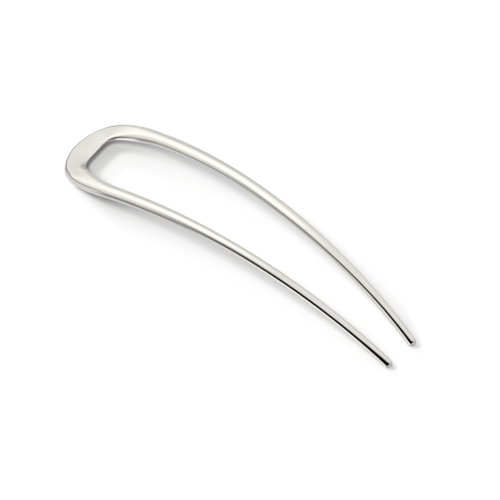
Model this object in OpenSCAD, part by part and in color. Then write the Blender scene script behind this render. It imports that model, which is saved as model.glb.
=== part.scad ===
// French hair pin: one tapered round rod bent into a narrow U, hammered flat at the crown,
// bowed along its length, and lying with its hollow side down.
// X runs from the crown to the tips of the prongs, Y across, Z up. Millimetres.

/* [Pin] */
// Length along the bow, from the outer edge of the crown to the tips of the prongs
pin_len = 115; // [100:1:130]
// How much shorter the prong on the -Y side is
short_by = 1; // [0:0.1:2]
// Radius that the prongs are bowed to
bow_r = 88; // [75:1:120]

/* [Crown] */
// Width of the hammered crown at its middle
crown_w = 9; // [8:0.1:10]
// Thickness of the hammered crown
crown_t = 1.4; // [1.2:0.1:2]
// Width of the rounding along the crown's outer edge
outer_edge = 2.2; // [1:0.1:3]
// Width of the rounding along the crown's inner edge
inner_edge = 0.6; // [0.4:0.1:1.2]

/* [Prongs] */
// Diameter of a prong beside the crown
prong_d = 3.6; // [3.2:0.1:4.2]
// Diameter of a prong just before its rounded tip
tip_d = 2.3; // [1.8:0.1:2.6]
// Length of the rounded tip
tip_len = 1.2; // [0.8:0.1:2]
// Distance between the prongs beside the crown, from axis to axis
spread = 21; // [19:0.1:23]
// Distance between the tips, from axis to axis
tip_spread = 9; // [7:0.1:12]

/* [Hidden] */

// Stretch next to the crown's edge that is not bowed, and the stretch after it in
// which the bow grows to its full curvature
flat_len = 8;
blend_len = 24;

// The rod's axis is a smooth curve drawn by control rows. Each row gives the place of the axis
// before bowing, the width and thickness of the rod there, and how wide the roundings of its
// outer and inner edges are. What lies between the roundings is flat.
ALONG = 0;
SPREAD = 1;
WIDE = 2;
THICK = 3;
OUTER = 4;
INNER = 5;

// Crown, from its middle to the start of a prong
crown_rows = [
    [3.6, 0, crown_w, crown_t, outer_edge, inner_edge],
    [4.9, 0.26*spread, 0.75*crown_w, crown_t, 0.64*outer_edge, inner_edge],
    [8.3, 0.42*spread, 0.61*crown_w, 2*crown_t, 0.82*outer_edge, 2.3*inner_edge],
    [17.3, 0.5*spread, 1.14*prong_d, 0.97*prong_d, 0.57*prong_d, 0.57*prong_d]
];

// Prong: the two sides close in slowly at first, and the rod tapers to the tip
prong_from = 26;
prong_steps = 5;
closing_power = 1.5;
taper_power = 0.9;
axis_end = pin_len - tip_len;
prong_rows = [for (i = [0:prong_steps])
    let (
        t = i/prong_steps,
        d = prong_d + (tip_d - prong_d)*pow(t, taper_power)
    )
    [
        prong_from + (axis_end - prong_from)*t,
        (spread + (tip_spread - spread)*pow(t, closing_power))/2,
        d, d, d/2, d/2
    ]
];

// Steps along the axis between control rows, sides of the rod, and rings of a rounded tip
span_steps = 6;
sides = 24;
tip_rings = 4;

function mirrored(row) = [for (k = [ALONG:INNER]) k == SPREAD ? -row[k] : row[k]];

// All control rows from the tip on the -Y side over the crown to the tip on the +Y side,
// with one row beyond each end so that the curve reaches the last ones
half_rows = concat(crown_rows, prong_rows);
last_half = len(half_rows) - 1;
full_rows = concat([for (i = [last_half:-1:1]) mirrored(half_rows[i])], half_rows);
last_full = len(full_rows) - 1;
control_rows = concat(
    [2*full_rows[0] - full_rows[1]],
    full_rows,
    [2*full_rows[last_full] - full_rows[last_full - 1]]
);

// Uniform cubic B-spline through four neighbouring control rows
function weights(u) = [pow(1 - u, 3), 3*pow(u, 3) - 6*u*u + 4, -3*pow(u, 3) + 3*u*u + 3*u + 1, pow(u, 3)]/6;
function blended(i, u) = weights(u)*[for (k = [0:3]) control_rows[i + k]];

swept_rows = [for (n = [0:last_full*span_steps])
    let (i = min(floor(n/span_steps), last_full - 1))
    blended(i, n/span_steps - i)
];

// Rounded tip: rings that shrink as a quarter circle beyond the end of the axis
function plan(row) = [row[ALONG], row[SPREAD]];
function unit(v) = v/norm(v);
function tip_row(end, before, angle) =
    let (reach = tip_len*sin(angle)*unit(plan(end) - plan(before)))
    concat(plan(end) + reach, [for (k = [WIDE:INNER]) end[k]*cos(angle)]);
swept_end = len(swept_rows) - 1;
tip_angles = [for (n = [1:tip_rings]) n*90/(tip_rings + 1)];
stations = concat(
    [for (n = [tip_rings - 1:-1:0]) tip_row(swept_rows[0], swept_rows[1], tip_angles[n])],
    swept_rows,
    [for (n = [0:tip_rings - 1]) tip_row(swept_rows[swept_end], swept_rows[swept_end - 1], tip_angles[n])]
);
last_station = len(stations) - 1;
first_tip = tip_row(swept_rows[0], swept_rows[1], 90);
last_tip = tip_row(swept_rows[swept_end], swept_rows[swept_end - 1], 90);

// Outward direction across the rod at a station, in the unbowed plane
function heading(n) = unit(plan(stations[min(n + 1, last_station)]) - plan(stations[max(n - 1, 0)]));
function outward(n) = [-heading(n)[1], heading(n)[0]];

// One ring of the rod: rounded edges with a flat stretch between them above and below.
// The corners stand a little proud of the round so that the flats keep the full thickness.
corner_scale = 1/cos(180/sides);
function across(s, angle) = cos(angle) > 0
    ? s[WIDE]/2 - s[OUTER] + s[OUTER]*corner_scale*cos(angle)
    : s[INNER] - s[WIDE]/2 + s[INNER]*corner_scale*cos(angle);
function ring(n) = [for (j = [0:sides - 1])
    let (
        s = stations[n],
        angle = (j + 0.5)*360/sides,
        place = plan(s) + across(s, angle)*outward(n)
    )
    [place[0], place[1], s[THICK]/2*corner_scale*sin(angle)]
];

// Bow: the unbowed X becomes length along an arc in the XZ plane, whose slope grows smoothly
bow_step = 0.5;
function slope_down(x) =
    let (u = min(max(x - flat_len, 0), blend_len))
    (u*u/(2*blend_len) + max(0, x - flat_len - blend_len))/bow_r*180/PI;
function bow_table(x, at, stop) = x > stop ? [] :
    let (mid = slope_down(x + bow_step/2))
    concat([[x, at[0], at[1]]], bow_table(x + bow_step, at + bow_step*[cos(mid), -sin(mid)], stop));
bow_path = bow_table(0, [0, 0], pin_len + 2*bow_step);
bow_x = [for (row = bow_path) [row[0], row[1]]];
bow_z = [for (row = bow_path) [row[0], row[2]]];
function on_path(x) = x < 0 ? [x, 0] : [lookup(x, bow_x), lookup(x, bow_z)];
function bowed(p) =
    let (at = on_path(p[0]), a = slope_down(p[0]))
    [at[0] + p[2]*sin(a), p[1], at[1] + p[2]*cos(a)];

// The prong on the -Y side is the same curve, shrunk a little about the middle of the crown's
// edge. The change fades in across the crown.
crown_middle = crown_t/2;
fade_width = 3;
function shortened(p) =
    let (
        u = min(max(-p[1]/fade_width, 0), 1),
        k = 1 - short_by/pin_len*u*u*(3 - 2*u)
    )
    [crown_middle + k*(p[0] - crown_middle), p[1], k*p[2]];

function formed(p) = shortened(bowed(p));
formed_points = concat(
    [for (n = [0:last_station]) each [for (p = ring(n)) formed(p)]],
    [formed([first_tip[ALONG], first_tip[SPREAD], 0])],
    [formed([last_tip[ALONG], last_tip[SPREAD], 0])]
);

// Rest: the pin is turned about Y until the crown's edge and the tips stand at one height.
// The turn starts from the line between the two ends, and a few rounds make it exact.
level_rounds = 4;
crown_points = [for (p = formed_points) if (p[0] < pin_len/4) p];
prong_points = [for (p = formed_points) if (p[0] > pin_len/2) p];
tip_centre = on_path(axis_end);
chord = [tip_centre[0] - crown_middle, tip_centre[1]];
function height(p, a) = p[0]*sin(a) + p[2]*cos(a);
function lowest(points, a) = min([for (p = points) height(p, a)]);
function levelled(a, rounds) = rounds == 0 ? a :
    let (error = lowest(crown_points, a) - lowest(prong_points, a))
    levelled(a + asin(error/norm(chord)), rounds - 1);
rest_turn = levelled(-atan2(chord[1], chord[0]), level_rounds);
function turned(p) = [p[0]*cos(rest_turn) - p[2]*sin(rest_turn), p[1], height(p, rest_turn)];

raw_points = [for (p = formed_points) turned(p)];
xs = [for (p = raw_points) p[0]];
zs = [for (p = raw_points) p[2]];
origin_shift = [(max(xs) + min(xs))/2, 0, min(zs)];
skin_points = [for (p = raw_points) p - origin_shift];

// Triangles between neighbouring rings, and fans to the two tip points
first_point = len(skin_points) - 2;
last_point = len(skin_points) - 1;
function corner(n, j) = n*sides + j % sides;
skin_faces = concat(
    [for (n = [0:last_station - 1], j = [0:sides - 1]) each [
        [corner(n, j), corner(n + 1, j), corner(n + 1, j + 1)],
        [corner(n, j), corner(n + 1, j + 1), corner(n, j + 1)]
    ]],
    [for (j = [0:sides - 1]) [first_point, corner(0, j), corner(0, j + 1)]],
    [for (j = [0:sides - 1]) [last_point, corner(last_station, j + 1), corner(last_station, j)]]
);

module hair_pin() {
    color([0.85, 0.85, 0.83])
        polyhedron(points = skin_points, faces = skin_faces, convexity = 6);
}

hair_pin();
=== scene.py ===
"""Looks of the french hair pin: a polished silver rod, modelled finely over its plain solid."""

import math

import bpy
import numpy as np
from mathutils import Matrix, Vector


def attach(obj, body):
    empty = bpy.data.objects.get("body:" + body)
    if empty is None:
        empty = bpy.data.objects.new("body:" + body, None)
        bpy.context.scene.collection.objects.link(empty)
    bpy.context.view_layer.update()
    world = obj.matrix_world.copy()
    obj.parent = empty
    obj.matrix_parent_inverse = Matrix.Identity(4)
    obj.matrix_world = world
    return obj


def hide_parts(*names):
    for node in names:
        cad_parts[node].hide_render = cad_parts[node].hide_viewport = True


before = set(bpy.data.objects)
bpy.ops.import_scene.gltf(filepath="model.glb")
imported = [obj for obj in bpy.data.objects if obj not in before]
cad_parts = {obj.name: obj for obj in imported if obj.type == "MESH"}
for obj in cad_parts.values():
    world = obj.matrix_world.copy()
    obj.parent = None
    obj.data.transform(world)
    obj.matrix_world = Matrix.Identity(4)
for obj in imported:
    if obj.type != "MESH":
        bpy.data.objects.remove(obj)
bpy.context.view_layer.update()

MM = 0.001

# Sizes in millimetres that the fine mesh shares with the solid. First the whole pin: its length
# along the bow, how much shorter the prong on the -Y side is, the width across the crown over
# which that fades in, the radius of the bow, the stretch beside the crown's edge that isn't bowed,
# and the stretch after it in which the bow grows to its full curvature
PIN_LEN = 115.0
SHORT_BY = 1.0
FADE_WIDTH = 3.0
BOW_R = 88.0
FLAT_LEN = 8.0
BLEND_LEN = 24.0

# Then the crown's width and thickness, the rod's diameter beside the crown and before the tips,
# the length of a tip, the distance between the prongs' axes beside the crown and at the tips,
# where the prongs start, the rows they are drawn with, and how they close in and taper
CROWN_W = 9.0
CROWN_T = 1.4
PRONG_D = 3.6
TIP_D = 2.3
TIP_LEN = 1.2
SPREAD = 21.0
TIP_SPREAD = 9.0
PRONG_FROM = 26.0
PRONG_STEPS = 5
CLOSING_POWER = 1.5
TAPER_POWER = 0.9

# Roundings of the crown's outer and inner edge, both tighter than the solid's, and the thickness
# at the inner edge, where the underside comes up over a share of the width
OUTER_EDGE = 1.2
INNER_EDGE = 0.2
INNER_T = 0.4
THINNED_PART = 0.7

# How pointed the tips are: 1 is a quarter circle, as the solid has it
TIP_POWER = 1.4

# How thick the prongs are for their width: length from the crown, prong on the -Y side, prong on
# the +Y side. Most of a change goes into the thickness and the rest into the width.
HAMMERED = (
    (8, 1.0, 1.0),
    (20, 1.0, 0.9),
    (35, 0.88, 0.75),
    (51, 1.0, 0.8),
    (66, 1.1, 0.7),
    (84, 1.12, 0.82),
    (103, 1.0, 1.15),
    (110, 1.0, 1.15),
)
THICKNESS_PART = 0.8

# How far the upper face leans to the -Y side beside the crown, as rise for each millimetre across,
# and the lengths from the crown between which the lean swells and fades
LEAN = 0.13
LEAN_FROM = 6.0
LEAN_TO = 25.0

# Fineness of the visible mesh: steps between two rows, points of a ring, rings of a tip, and the
# step in millimetres along the bow. The turn that lays the pin down is exact after a few rounds.
SPAN_STEPS = 36
SIDES = 96
TIP_RINGS = 16
BOW_STEP = 0.25
LEVEL_ROUNDS = 4

# What each column of a row of the rod holds: place along and across, width, thickness, rounding of
# the outer and inner edge, and thickness at the inner edge
ALONG, ACROSS, WIDE, THICK, OUTER, INNER, INNER_THICK = range(7)
PLACE = slice(ALONG, WIDE)
SECTION = slice(WIDE, None)


def control_rows():
    """Half of the rod, from the middle of the crown to a tip."""
    axis_end = PIN_LEN - TIP_LEN
    round_edge = 0.57 * PRONG_D
    prong_start_t = 0.97 * PRONG_D
    rows = [
        [3.6, 0.0, CROWN_W, CROWN_T, OUTER_EDGE, INNER_EDGE, INNER_T],
        [4.9, 0.26 * SPREAD, 0.75 * CROWN_W, CROWN_T, OUTER_EDGE, INNER_EDGE, INNER_T],
        [8.3, 0.42 * SPREAD, 0.61 * CROWN_W, 2 * CROWN_T, 1.5 * OUTER_EDGE, 5 * INNER_EDGE, 4 * INNER_T],
        [17.3, 0.5 * SPREAD, 1.14 * PRONG_D, prong_start_t, round_edge, round_edge, prong_start_t],
    ]
    for i in range(PRONG_STEPS + 1):
        t = i / PRONG_STEPS
        d = PRONG_D + (TIP_D - PRONG_D) * t**TAPER_POWER
        half_gap = (SPREAD + (TIP_SPREAD - SPREAD) * t**CLOSING_POWER) / 2
        rows.append([PRONG_FROM + (axis_end - PRONG_FROM) * t, half_gap, d, d, d / 2, d / 2, d])
    return np.array(rows)


def swept_rows(half):
    """Smooth curve through the rod's rows, from the tip on the -Y side to the tip on the +Y side:
    a uniform cubic B-spline with one more row beyond each end."""
    mirrored = half[:0:-1].copy()
    mirrored[:, ACROSS] *= -1
    full = np.vstack([mirrored, half])
    control = np.vstack([2 * full[0] - full[1], full, 2 * full[-1] - full[-2]])
    spans = len(full) - 1
    place = np.arange(spans * SPAN_STEPS + 1) / SPAN_STEPS
    first = np.minimum(place.astype(int), spans - 1)
    u = (place - first)[:, None]
    weights = ((1 - u) ** 3, 3 * u**3 - 6 * u**2 + 4, -3 * u**3 + 3 * u**2 + 3 * u + 1, u**3)
    return sum(w * control[first + k] for k, w in enumerate(weights)) / 6


def hammered(rows):
    """Makes the prongs a little flatter or taller than round, as the hammer left them."""
    along, near_share, far_share = np.array(HAMMERED).T
    near = np.interp(rows[:, ALONG], along, near_share)
    far = np.interp(rows[:, ALONG], along, far_share)
    share = np.where(rows[:, ACROSS] < 0, near, far)[:, None]
    rows[:, [THICK, INNER_THICK]] *= share**THICKNESS_PART
    rows[:, [WIDE, OUTER, INNER]] *= share ** (THICKNESS_PART - 1)
    return rows


def tip_rows(end, before):
    """Rows that shrink to nothing beyond an end of the axis."""
    heading = end[PLACE] - before[PLACE]
    heading = heading / np.linalg.norm(heading)
    angles = np.linspace(0, math.pi / 2, TIP_RINGS + 2)[1:, None]
    places = end[PLACE] + TIP_LEN * np.sin(angles) * heading
    return np.hstack([places, end[SECTION] * np.cos(angles) ** TIP_POWER])


def outward_directions(rows):
    """Direction across the rod, away from the middle of the U, at each row."""
    places = rows[:, PLACE]
    ahead = np.vstack([places[1:], places[-1:]]) - np.vstack([places[:1], places[:-1]])
    heading = ahead / np.linalg.norm(ahead, axis=1)[:, None]
    return np.stack([-heading[:, 1], heading[:, 0]], 1)


def smooth_step(share):
    """Rises smoothly from 0 to 1 while the share does."""
    share = np.clip(share, 0, 1)
    return share * share * (3 - 2 * share)


def section_rings(rows):
    """How far outward and how high the points of each row's ring lie in the unbowed rod."""
    angle = (np.arange(SIDES) + 0.5) * 2 * math.pi / SIDES
    around = np.cos(angle)[None, :]
    half_wide = rows[:, [WIDE]] / 2
    half_thick = rows[:, [THICK]] / 2
    outer = rows[:, [OUTER]]
    inner = rows[:, [INNER]]
    outer_side = half_wide - outer + outer * around
    inner_side = inner - half_wide + inner * around
    across = np.where(around > 0, outer_side, inner_side)

    inner_share = rows[:, [INNER_THICK]] / rows[:, [THICK]]
    to_inner = smooth_step(1 - (across + half_wide) / (2 * half_wide * THINNED_PART))
    up = half_thick - half_thick * (1 - np.sin(angle)) * (1 - (1 - inner_share) * to_inner)

    lean_share = np.clip((rows[:, [ALONG]] - LEAN_FROM) / (LEAN_TO - LEAN_FROM), 0, 1)
    lean = LEAN * np.sin(math.pi * lean_share) ** 2 * np.sign(rows[:, [ACROSS]])
    return across, up + lean * across


def slope_down(along):
    """Slope of the bow, in radians: none at the crown, then more and more, and then steady."""
    u = np.clip(along - FLAT_LEN, 0, BLEND_LEN)
    return (u * u / (2 * BLEND_LEN) + np.maximum(0, along - FLAT_LEN - BLEND_LEN)) / BOW_R


def bow_path():
    """Place of the bowed mid-line for each length along it."""
    length = np.arange(0, PIN_LEN + 2 * BOW_STEP, BOW_STEP)
    slope = slope_down(length[:-1] + BOW_STEP / 2)
    x = np.concatenate([[0], np.cumsum(BOW_STEP * np.cos(slope))])
    z = np.concatenate([[0], np.cumsum(-BOW_STEP * np.sin(slope))])
    return length, x, z


def bowed(points):
    """Bends the flat rod along the bow."""
    length, path_x, path_z = bow_path()
    along, across, up = np.moveaxis(points, -1, 0)
    slope = slope_down(along)
    x = np.where(along < 0, along, np.interp(along, length, path_x)) + up * np.sin(slope)
    z = np.where(along < 0, 0, np.interp(along, length, path_z)) + up * np.cos(slope)
    return np.stack([x, across, z], -1)


def shortened(points):
    """The prong on the -Y side is shrunk a little about the middle of the crown's edge."""
    x, across, z = np.moveaxis(points, -1, 0)
    middle = CROWN_T / 2
    scale = 1 - SHORT_BY / PIN_LEN * smooth_step(-across / FADE_WIDTH)
    return np.stack([middle + scale * (x - middle), across, scale * z], -1)


def turned_height(points, angle):
    """Height of points once the pin is turned about Y."""
    return points[:, 0] * math.sin(angle) + points[:, 2] * math.cos(angle)


def rest_turn(points):
    """Angle that sets the crown's edge and the tips at one height."""
    length, path_x, path_z = bow_path()
    run = np.interp(PIN_LEN - TIP_LEN, length, path_x) - CROWN_T / 2
    drop = np.interp(PIN_LEN - TIP_LEN, length, path_z)
    crown = points[points[:, 0] < PIN_LEN / 4]
    prongs = points[points[:, 0] > PIN_LEN / 2]
    angle = -math.atan2(drop, run)
    for _ in range(LEVEL_ROUNDS):
        error = turned_height(crown, angle).min() - turned_height(prongs, angle).min()
        angle += math.asin(error / math.hypot(run, drop))
    return angle


def laid_down(points):
    """Turns the pin to rest on the crown's edge and the tips, and moves it to the solid's place."""
    angle = rest_turn(points)
    x = points[:, 0] * math.cos(angle) - points[:, 2] * math.sin(angle)
    points = np.stack([x, points[:, 1], turned_height(points, angle)], -1)
    low, high = points.min(0), points.max(0)
    return points - [(low[0] + high[0]) / 2, 0, low[2]]


def ring_faces(ring_count):
    """Faces between neighbouring rings, and fans to the two tip points, which come last."""
    faces = []
    for n in range(ring_count - 1):
        for j in range(SIDES):
            k = (j + 1) % SIDES
            faces.append((n * SIDES + k, (n + 1) * SIDES + k, (n + 1) * SIDES + j, n * SIDES + j))
    last_ring = (ring_count - 1) * SIDES
    first_tip = ring_count * SIDES
    for j in range(SIDES):
        k = (j + 1) % SIDES
        faces.append((first_tip, k, j))
        faces.append((first_tip + 1, last_ring + j, last_ring + k))
    return faces


def keep_straight_places(mesh, rows, across, up):
    """Stores where each point is in the straight rod, for the material: millimetres along it from
    the tip on the -Y side, outward across it, and up."""
    steps = np.linalg.norm(np.diff(rows[:, PLACE], axis=0), axis=1)
    along = np.concatenate([[0], np.cumsum(steps)])[:, None]
    straight = np.stack([np.broadcast_to(along, across.shape), across, up], -1)
    straight = np.vstack([straight.reshape(-1, 3), straight[0, 0], straight[-1, 0]])
    attribute = mesh.attributes.new("straight_rod", "FLOAT_VECTOR", "POINT")
    attribute.data.foreach_set("vector", straight.astype(np.float32).ravel())


def make_pin():
    """Fine mesh of the rod, in metres, in the frame of its solid."""
    swept = hammered(swept_rows(control_rows()))
    near_tip = tip_rows(swept[0], swept[1])
    far_tip = tip_rows(swept[-1], swept[-2])
    rows = np.vstack([near_tip[-2::-1], swept, far_tip[:-1]])
    across, up = section_rings(rows)
    plan = rows[:, None, PLACE] + across[..., None] * outward_directions(rows)[:, None, :]
    rings = np.concatenate([plan, up[..., None]], -1)
    ends = np.array([[*near_tip[-1, PLACE], 0], [*far_tip[-1, PLACE], 0]])
    points = np.vstack([rings.reshape(-1, 3), ends])
    points = laid_down(shortened(bowed(points)))

    mesh = bpy.data.meshes.new("polished_pin")
    mesh.from_pydata([tuple(p * MM) for p in points], [], ring_faces(len(rows)))
    mesh.validate()
    for polygon in mesh.polygons:
        polygon.use_smooth = True
    keep_straight_places(mesh, rows, across, up)
    pin = bpy.data.objects.new("polished_pin", mesh)
    bpy.context.scene.collection.objects.link(pin)
    return pin


def add_node(tree, kind, **settings):
    """New node of a kind, with its settings."""
    node = tree.nodes.new(kind)
    for name, value in settings.items():
        setattr(node, name, value)
    return node


def feed(tree, value, socket):
    """Sets a socket to a number, or links it to another node's output."""
    if isinstance(value, (int, float)):
        socket.default_value = value
    else:
        tree.links.new(value, socket)


def maths(tree, operation, *values):
    """Math node on numbers or on other nodes' outputs; returns its output."""
    node = add_node(tree, "ShaderNodeMath", operation=operation)
    for socket, value in zip(node.inputs, values):
        feed(tree, value, socket)
    return node.outputs[0]


def vector_maths(tree, operation, vector, constant=None):
    """Vector Math node on another node's output and a constant vector; returns the node."""
    node = add_node(tree, "ShaderNodeVectorMath", operation=operation)
    tree.links.new(vector, node.inputs[0])
    if constant:
        node.inputs[1].default_value = constant
    return node


def ramp(tree, value, start, stop, low=0.0, high=1.0):
    """Smooth step from low, where the value is at start, to high, where it is at stop."""
    node = add_node(tree, "ShaderNodeMapRange", interpolation_type="SMOOTHSTEP")
    tree.links.new(value, node.inputs["Value"])
    node.inputs["From Min"].default_value = start
    node.inputs["From Max"].default_value = stop
    node.inputs["To Min"].default_value = low
    node.inputs["To Max"].default_value = high
    return node.outputs["Result"]


def mixed(tree, share, first, second):
    """First value, with a share of it given over to the second."""
    node = add_node(tree, "ShaderNodeMix", data_type="FLOAT")
    tree.links.new(share, node.inputs["Factor"])
    feed(tree, first, node.inputs["A"])
    feed(tree, second, node.inputs["B"])
    return node.outputs["Result"]


# Uneven patterns in the silver: how much they are stretched along the rod, as a factor on the
# length, and the scale, detail and roughness of their noise
PATTERNS = {
    "polishing lines": (0.04, 9.0, 4.0, 0.6),
    "smudges": (0.5, 0.45, 3.0, 0.5),
    "forging waves": (0.6, 0.3, 1.0, 0.5),
    "ripples": (0.5, 0.9, 2.0, 0.5),
}

# How high these patterns stand, in millimetres
WAVE_HEIGHT = 0.02
RIPPLE_HEIGHT = 0.004
LINE_HEIGHT = 0.0004

# Roughness of the polish, and what smudges and lines add to it
POLISH_ROUGHNESS = 0.01
SMUDGE_ROUGHNESS = 0.05
LINE_ROUGHNESS = 0.03

# Colours of clean and tarnished silver, where in the smudges the thin tarnish starts and is full, and how
# strong it is there. The tarnished colour also paints the dark reflection in the crease at the crown's
# inner corner.
CLEAN_SILVER = (0.905, 0.90, 0.845, 1)
TARNISH_AND_REFLECTION_SILVER = (0.63, 0.62, 0.49, 1)
TARNISH_FROM = 0.45
TARNISH_FULL = 0.75
TARNISH_SHARE = 0.1

# Small painted dark reflection, a tan spot in the crease where the flat crown curves into the prong,
# beside the crown's inner corner on the -Y side: its middle and half sizes, measured along the rod from
# the tip on that side and outward across it, in millimetres. Its edge fades between two distances from
# the middle, as shares of the half sizes, and the smudges shift it.
CREASE_REFLECTION_PLACE = (107.0, -2.3, 0.0)
CREASE_REFLECTION_SIZE = (3.0, 1.2)
CREASE_REFLECTION_END = 1.3
CREASE_REFLECTION_FULL = 0.5
CREASE_REFLECTION_UNEVEN = 0.5


def pattern(tree, place, name):
    """One of the uneven patterns, from 0 to 1, in a place vector that runs along the rod."""
    stretch, scale, detail, roughness = PATTERNS[name]
    stretched = vector_maths(tree, "MULTIPLY", place, (stretch, 1, 1))
    texture = add_node(tree, "ShaderNodeTexNoise")
    tree.links.new(stretched.outputs[0], texture.inputs["Vector"])
    texture.inputs["Scale"].default_value = scale
    texture.inputs["Detail"].default_value = detail
    texture.inputs["Roughness"].default_value = roughness
    return texture.outputs["Fac"]


def painted_crease_reflection(tree, place, smudges):
    """How much of the painted dark reflection in the crease shows, from 0 around it to 1 at its middle.
    """
    away = vector_maths(tree, "SUBTRACT", place, CREASE_REFLECTION_PLACE)
    scaled = vector_maths(tree, "MULTIPLY", away.outputs[0], (1 / CREASE_REFLECTION_SIZE[0], 1 / CREASE_REFLECTION_SIZE[1], 0))
    distance = vector_maths(tree, "LENGTH", scaled.outputs[0]).outputs["Value"]
    uneven = maths(tree, "MULTIPLY_ADD", smudges, CREASE_REFLECTION_UNEVEN, distance)
    return ramp(tree, uneven, CREASE_REFLECTION_END, CREASE_REFLECTION_FULL)


def bump(tree, height_pattern, height, normal=None):
    """Normal of the surface with a pattern of this height in millimetres on it."""
    node = add_node(tree, "ShaderNodeBump")
    node.inputs["Distance"].default_value = height * MM
    tree.links.new(height_pattern, node.inputs["Height"])
    if normal:
        tree.links.new(normal, node.inputs["Normal"])
    return node.outputs["Normal"]


def silver():
    """Hand-polished silver: forging waves, polishing lines along the rod, thin tarnish, and a painted
    dark reflection in the crease at the crown's inner corner.
    """
    material = bpy.data.materials.new("polished_silver")
    material.use_nodes = True
    tree = material.node_tree
    shader = tree.nodes["Principled BSDF"]
    shader.inputs["Metallic"].default_value = 1.0
    place = add_node(tree, "ShaderNodeAttribute", attribute_name="straight_rod").outputs["Vector"]
    lines = pattern(tree, place, "polishing lines")
    smudges = pattern(tree, place, "smudges")
    waves = pattern(tree, place, "forging waves")
    ripples = pattern(tree, place, "ripples")

    tarnish_and_painted_reflection = maths(tree, "MULTIPLY", ramp(tree, smudges, TARNISH_FROM, TARNISH_FULL), TARNISH_SHARE)
    # Lays the painted dark reflection in the crease at the crown's inner corner over the random thin
    # tarnish.
    tarnish_and_painted_reflection = maths(tree, "MAXIMUM", tarnish_and_painted_reflection, painted_crease_reflection(tree, place, smudges))
    colour = add_node(tree, "ShaderNodeMix", data_type="RGBA")
    tree.links.new(tarnish_and_painted_reflection, colour.inputs["Factor"])
    colour.inputs["A"].default_value = CLEAN_SILVER
    colour.inputs["B"].default_value = TARNISH_AND_REFLECTION_SILVER
    tree.links.new(colour.outputs["Result"], shader.inputs["Base Color"])

    roughness = maths(tree, "MULTIPLY_ADD", smudges, SMUDGE_ROUGHNESS, POLISH_ROUGHNESS)
    roughness = maths(tree, "MULTIPLY_ADD", lines, LINE_ROUGHNESS, roughness)
    tree.links.new(roughness, shader.inputs["Roughness"])

    normal = bump(tree, waves, WAVE_HEIGHT)
    normal = bump(tree, ripples, RIPPLE_HEIGHT, normal)
    normal = bump(tree, lines, LINE_HEIGHT, normal)
    tree.links.new(normal, shader.inputs["Normal"])
    return material


# The photograph's view, fitted to the pin's outline: the point looked at and the distance to it in
# millimetres, the camera's turn from -Y towards +X and its height in degrees, and its lens
CAMERA_TARGET = (2.67, 2.23, 0.25)
CAMERA_DISTANCE = 1150
CAMERA_TURN = 37.24
CAMERA_ELEVATION = 56.98
SENSOR_WIDTH = 36
LENS = 316.05

# The nearest and farthest that the camera sees, in metres
CLIP_START = 0.01
CLIP_END = 20


def make_camera():
    """Camera with the photograph's view of the pin."""
    turn = math.radians(CAMERA_TURN)
    elevation = math.radians(CAMERA_ELEVATION)
    to_camera = Vector((
        math.cos(elevation) * math.sin(turn),
        -math.cos(elevation) * math.cos(turn),
        math.sin(elevation),
    ))
    data = bpy.data.cameras.new("camera")
    data.sensor_width = SENSOR_WIDTH
    data.lens = LENS
    data.clip_start = CLIP_START
    data.clip_end = CLIP_END
    camera = bpy.data.objects.new("camera", data)
    camera.location = (Vector(CAMERA_TARGET) + to_camera * CAMERA_DISTANCE) * MM
    camera.rotation_euler = (-to_camera).to_track_quat("-Z", "Y").to_euler()
    bpy.context.scene.collection.objects.link(camera)
    bpy.context.scene.camera = camera


# Half of the table's width in metres, its grey, which the lamps make white, and its roughness
TABLE_HALF = 1.5
TABLE_GREY = 0.43
TABLE_ROUGHNESS = 0.9


def make_floor():
    """Plain matt table. The silver mirrors the tent's panels in its place."""
    low, high = -TABLE_HALF, TABLE_HALF
    mesh = bpy.data.meshes.new("floor")
    mesh.from_pydata([(low, low, 0), (high, low, 0), (high, high, 0), (low, high, 0)], [], [(0, 1, 2, 3)])
    material = bpy.data.materials.new("white_table")
    material.use_nodes = True
    shader = material.node_tree.nodes["Principled BSDF"]
    shader.inputs["Base Color"].default_value = (TABLE_GREY, TABLE_GREY, TABLE_GREY, 1)
    shader.inputs["Roughness"].default_value = TABLE_ROUGHNESS
    shader.inputs["Specular IOR Level"].default_value = 0.0
    mesh.materials.append(material)
    floor = bpy.data.objects.new("floor", mesh)
    floor.visible_glossy = False
    bpy.context.scene.collection.objects.link(floor)


# The studio tent and the table, as the silver mirrors them. Directions are in degrees: turns run
# from 0 along +Y to 90 along +X, and heights from -90 straight down to 90 overhead.
TENT_BRIGHTNESS = 0.82

# Round bright patches: turn and height of the middle, radius, softness, brightness
TENT_PATCHES = {
    "low lamp": (-88, 34, 20, 14, 1.1),
    "high lamp": (-88, 62, 26, 14, 1.12),
}

# Soft-edged panels laid over the tent one after the other: the turn of a panel's middle, half of
# its width, how softly its sides end, its lower and upper edge, how softly these end, brightness
TENT_PANELS = {
    "dim back": (-28, 18, 18, -30, 28, 12, 0.62),
    "table": (0, 180, 0, -90, -2, 4, 0.57),
    "far table": (-90, 50, 25, -90, -4, 4, 0.74),
    "table edge": (-101, 25, 6, -4, 3, 3, 0.3),
    "rim edge": (-69, 14, 5, -13, -3, 2, 0.2),
    "near table": (178, 16, 12, -90, -8, 6, 1.0),
    "corner edge": (-138, 12, 6, -8, 2, 4, 0.42),
    "table shadow": (209, 8, 5, -33, -13, 5, 0.15),
    "inner shadow": (148, 18, 6, -40, -8, 6, 0.0),
    "opening": (142, 60, 31, -11, 38, 5, 0.0),
}


def pointing(turn, height=0):
    """Direction vector for a turn and a height in degrees."""
    turn, height = math.radians(turn), math.radians(height)
    return (math.cos(height) * math.sin(turn), math.cos(height) * math.cos(turn), math.sin(height))


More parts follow.
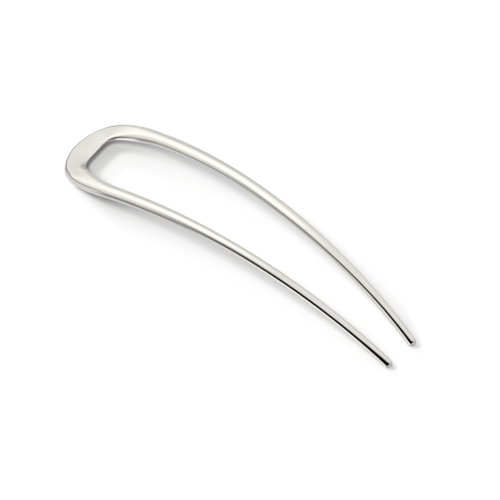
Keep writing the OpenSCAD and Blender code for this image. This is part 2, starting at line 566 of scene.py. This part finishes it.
def within(tree, direction, middle, radius, softness):
    """1 where a direction is within a radius in degrees of the middle one, and 0 well outside."""
    towards = vector_maths(tree, "DOT_PRODUCT", direction, middle).outputs["Value"]
    outer = math.cos(math.radians(radius + softness))
    inner = math.cos(math.radians(radius - softness))
    return ramp(tree, towards, outer, inner)


def tent_patch(tree, ray, below, row):
    """Lays a round patch over the brightness found so far and returns the new brightness."""
    turn, height, radius, softness, brightness = row
    mask = within(tree, ray, pointing(turn, height), radius, softness)
    return mixed(tree, mask, below, brightness)


def soft_edge(height, softness):
    """How high a direction vector reaches where a panel's level edge starts and where it ends."""
    return [math.sin(math.radians(height + side)) for side in (-softness, softness)]


def tent_panel(tree, level_ray, ray_height, below, row):
    """Lays a panel over the brightness found so far and returns the new brightness. A panel that
    goes all round, down to the bottom or up to the top has no edge there."""
    turn, half_width, side_soft, low, high, edge_soft, brightness = row
    masks = []
    if half_width < 180:
        masks.append(within(tree, level_ray, pointing(turn), half_width, side_soft))
    if low > -90:
        masks.append(ramp(tree, ray_height, *soft_edge(low, edge_soft)))
    if high < 90:
        masks.append(ramp(tree, ray_height, *soft_edge(high, edge_soft), 1.0, 0.0))
    mask = masks[0]
    for other in masks[1:]:
        mask = maths(tree, "MULTIPLY", mask, other)
    return mixed(tree, mask, below, brightness)


def make_tent():
    """World that shines like a white studio tent with a dark opening in front."""
    world = bpy.data.worlds.new("studio_tent")
    bpy.context.scene.world = world
    world.use_nodes = True
    tree = world.node_tree
    ray = add_node(tree, "ShaderNodeTexCoord").outputs["Generated"]
    parts = add_node(tree, "ShaderNodeSeparateXYZ")
    tree.links.new(ray, parts.inputs[0])
    level = vector_maths(tree, "MULTIPLY", ray, (1, 1, 0))
    level_ray = vector_maths(tree, "NORMALIZE", level.outputs[0]).outputs[0]
    brightness = TENT_BRIGHTNESS
    for row in TENT_PATCHES.values():
        brightness = tent_patch(tree, ray, brightness, row)
    for row in TENT_PANELS.values():
        brightness = tent_panel(tree, level_ray, parts.outputs["Z"], brightness, row)
    background = tree.nodes["Background"]
    background.inputs["Color"].default_value = (1, 1, 1, 1)
    tree.links.new(brightness, background.inputs["Strength"])


# Soft lamps that light the table: how far a lamp stands along X and Y for each metre of height,
# and the width in metres and the power in watts that it would have one metre from the pin
LAMP_DISTANCE = 2.5
LAMPS = {
    "front": (0.135, -0.448, 0.22, 10.2),
    "front left": (-0.8, -0.45, 0.25, 4.8),
    "left": (-0.7, -0.21, 0.3, 2.8),
    "low left": (-2.5, 0.3, 0.5, 6.9),
}


def area_light(name, place, size, power):
    """Round lamp that shines on the pin and isn't mirrored in it."""
    data = bpy.data.lights.new(name, "AREA")
    data.shape = "DISK"
    data.size = size
    data.energy = power
    light = bpy.data.objects.new(name, data)
    light.location = place
    light.rotation_euler = place.to_track_quat("Z", "Y").to_euler()
    light.visible_glossy = False
    bpy.context.scene.collection.objects.link(light)


def make_lights():
    """The tent and the lamps, shown with plain tones."""
    make_tent()
    for name, (along, across, size, power) in LAMPS.items():
        place = Vector((along, across, 1.0)).normalized() * LAMP_DISTANCE
        area_light(name, place, size * LAMP_DISTANCE, power * LAMP_DISTANCE**2)
    bpy.context.scene.view_settings.view_transform = "Standard"


make_camera()
pin = make_pin()
pin.data.materials.append(silver())
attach(pin, "root")
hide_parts("hair_pin")
make_floor()
make_lights()
